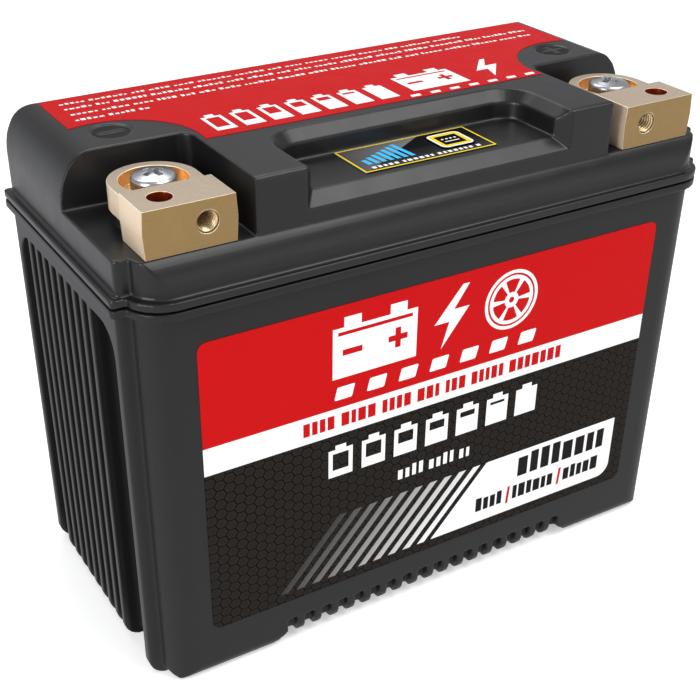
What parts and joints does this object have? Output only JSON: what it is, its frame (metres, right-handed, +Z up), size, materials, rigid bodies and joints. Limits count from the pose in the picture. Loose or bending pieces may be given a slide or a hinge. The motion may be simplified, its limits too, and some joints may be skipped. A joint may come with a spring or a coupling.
{
  "type": "motorcycle battery",
  "caption": "Boxy motorcycle starter battery with a stepped lid, brass terminal blocks at the front corners, a sunken charge gauge with a press key, ribbed ends and raised feet.",
  "frame": {"origin": "centre of the footprint, on the surface that the battery stands on", "axes": "+X along the length towards the positive terminal, +Y from the label and terminal side to the back, +Z up"},
  "size_m": [0.165, 0.086, 0.13],
  "materials": {
    "case_plastic": "moulded polypropylene, satin",
    "lid_plastic": "moulded polypropylene, satin",
    "seal_rubber": "soft black seal",
    "label_film": "printed film, red, white and black",
    "overlay_film": "printed polyester film",
    "key_plastic": "black with a printed ring",
    "terminal_brass": "milled, lightly blasted",
    "screw_steel": "zinc plated",
    "bar_copper": "bare copper",
    "cell_sleeve": "shrink sleeve over a steel can",
    "strip_nickel": "nickel strip",
    "holder_plastic": "moulded nylon",
    "insulator_board": "insulating sheet",
    "foam": "closed cell foam",
    "spacer_foam": "expanded foam block",
    "circuit_board": "green solder mask",
    "chip_plastic": "moulded epoxy",
    "heat_aluminium": "extruded",
    "connector_plastic": "natural nylon",
    "led_lens": "clear lens",
    "dome_steel": "bright"
  },
  "bodies": {
    "battery": {"container": "case_plastic", "lid": "lid_plastic", "lid_seal": "seal_rubber", "front_label": "label_film", "top_label": "label_film", "display_overlay": "overlay_film", "terminal_block_negative": "terminal_brass", "terminal_block_positive": "terminal_brass", "terminal_screw_negative": "screw_steel", "terminal_screw_positive": "screw_steel", "terminal_insert_negative": "terminal_brass", "terminal_insert_positive": "terminal_brass", "negative_bar": "bar_copper", "positive_bar": "bar_copper", "cell_1": "cell_sleeve", "cell_2": "cell_sleeve", "cell_3": "cell_sleeve", "cell_4": "cell_sleeve", "cell_5": "cell_sleeve", "cell_6": "cell_sleeve", "cell_7": "cell_sleeve", "cell_8": "cell_sleeve", "cell_9": "cell_sleeve", "cell_10": "cell_sleeve", "cell_11": "cell_sleeve", "cell_12": "cell_sleeve", "bus_strip_1": "strip_nickel", "bus_strip_2": "strip_nickel", "bus_strip_3": "strip_nickel", "bus_strip_4": "strip_nickel", "bus_strip_5": "strip_nickel", "front_cell_holder": "holder_plastic", "back_cell_holder": "holder_plastic", "front_insulator": "insulator_board", "back_insulator": "insulator_board", "bottom_pad": "foam", "front_pad": "foam", "back_pad": "foam", "left_spacer": "spacer_foam", "right_spacer": "spacer_foam", "bms_board": "circuit_board", "bms_mosfets": "chip_plastic", "bms_heat_plate": "heat_aluminium", "bms_standoffs": "holder_plastic", "bms_screws": "screw_steel", "balance_header": "connector_plastic", "balance_plug": "connector_plastic", "display_board": "circuit_board", "display_leds": "led_lens", "dome_switch": "dome_steel", "display_connector": "connector_plastic", "display_screws": "screw_steel"},
    "test_key": {"test_key": "key_plastic"}
  },
  "joints": [
    {"name": "test_key_press", "type": "slide", "parent": "battery", "child": "test_key", "axis": [0, 0, -1], "range_m": [0, 0.0004], "stiffness_N_per_m": 800}
  ]
}
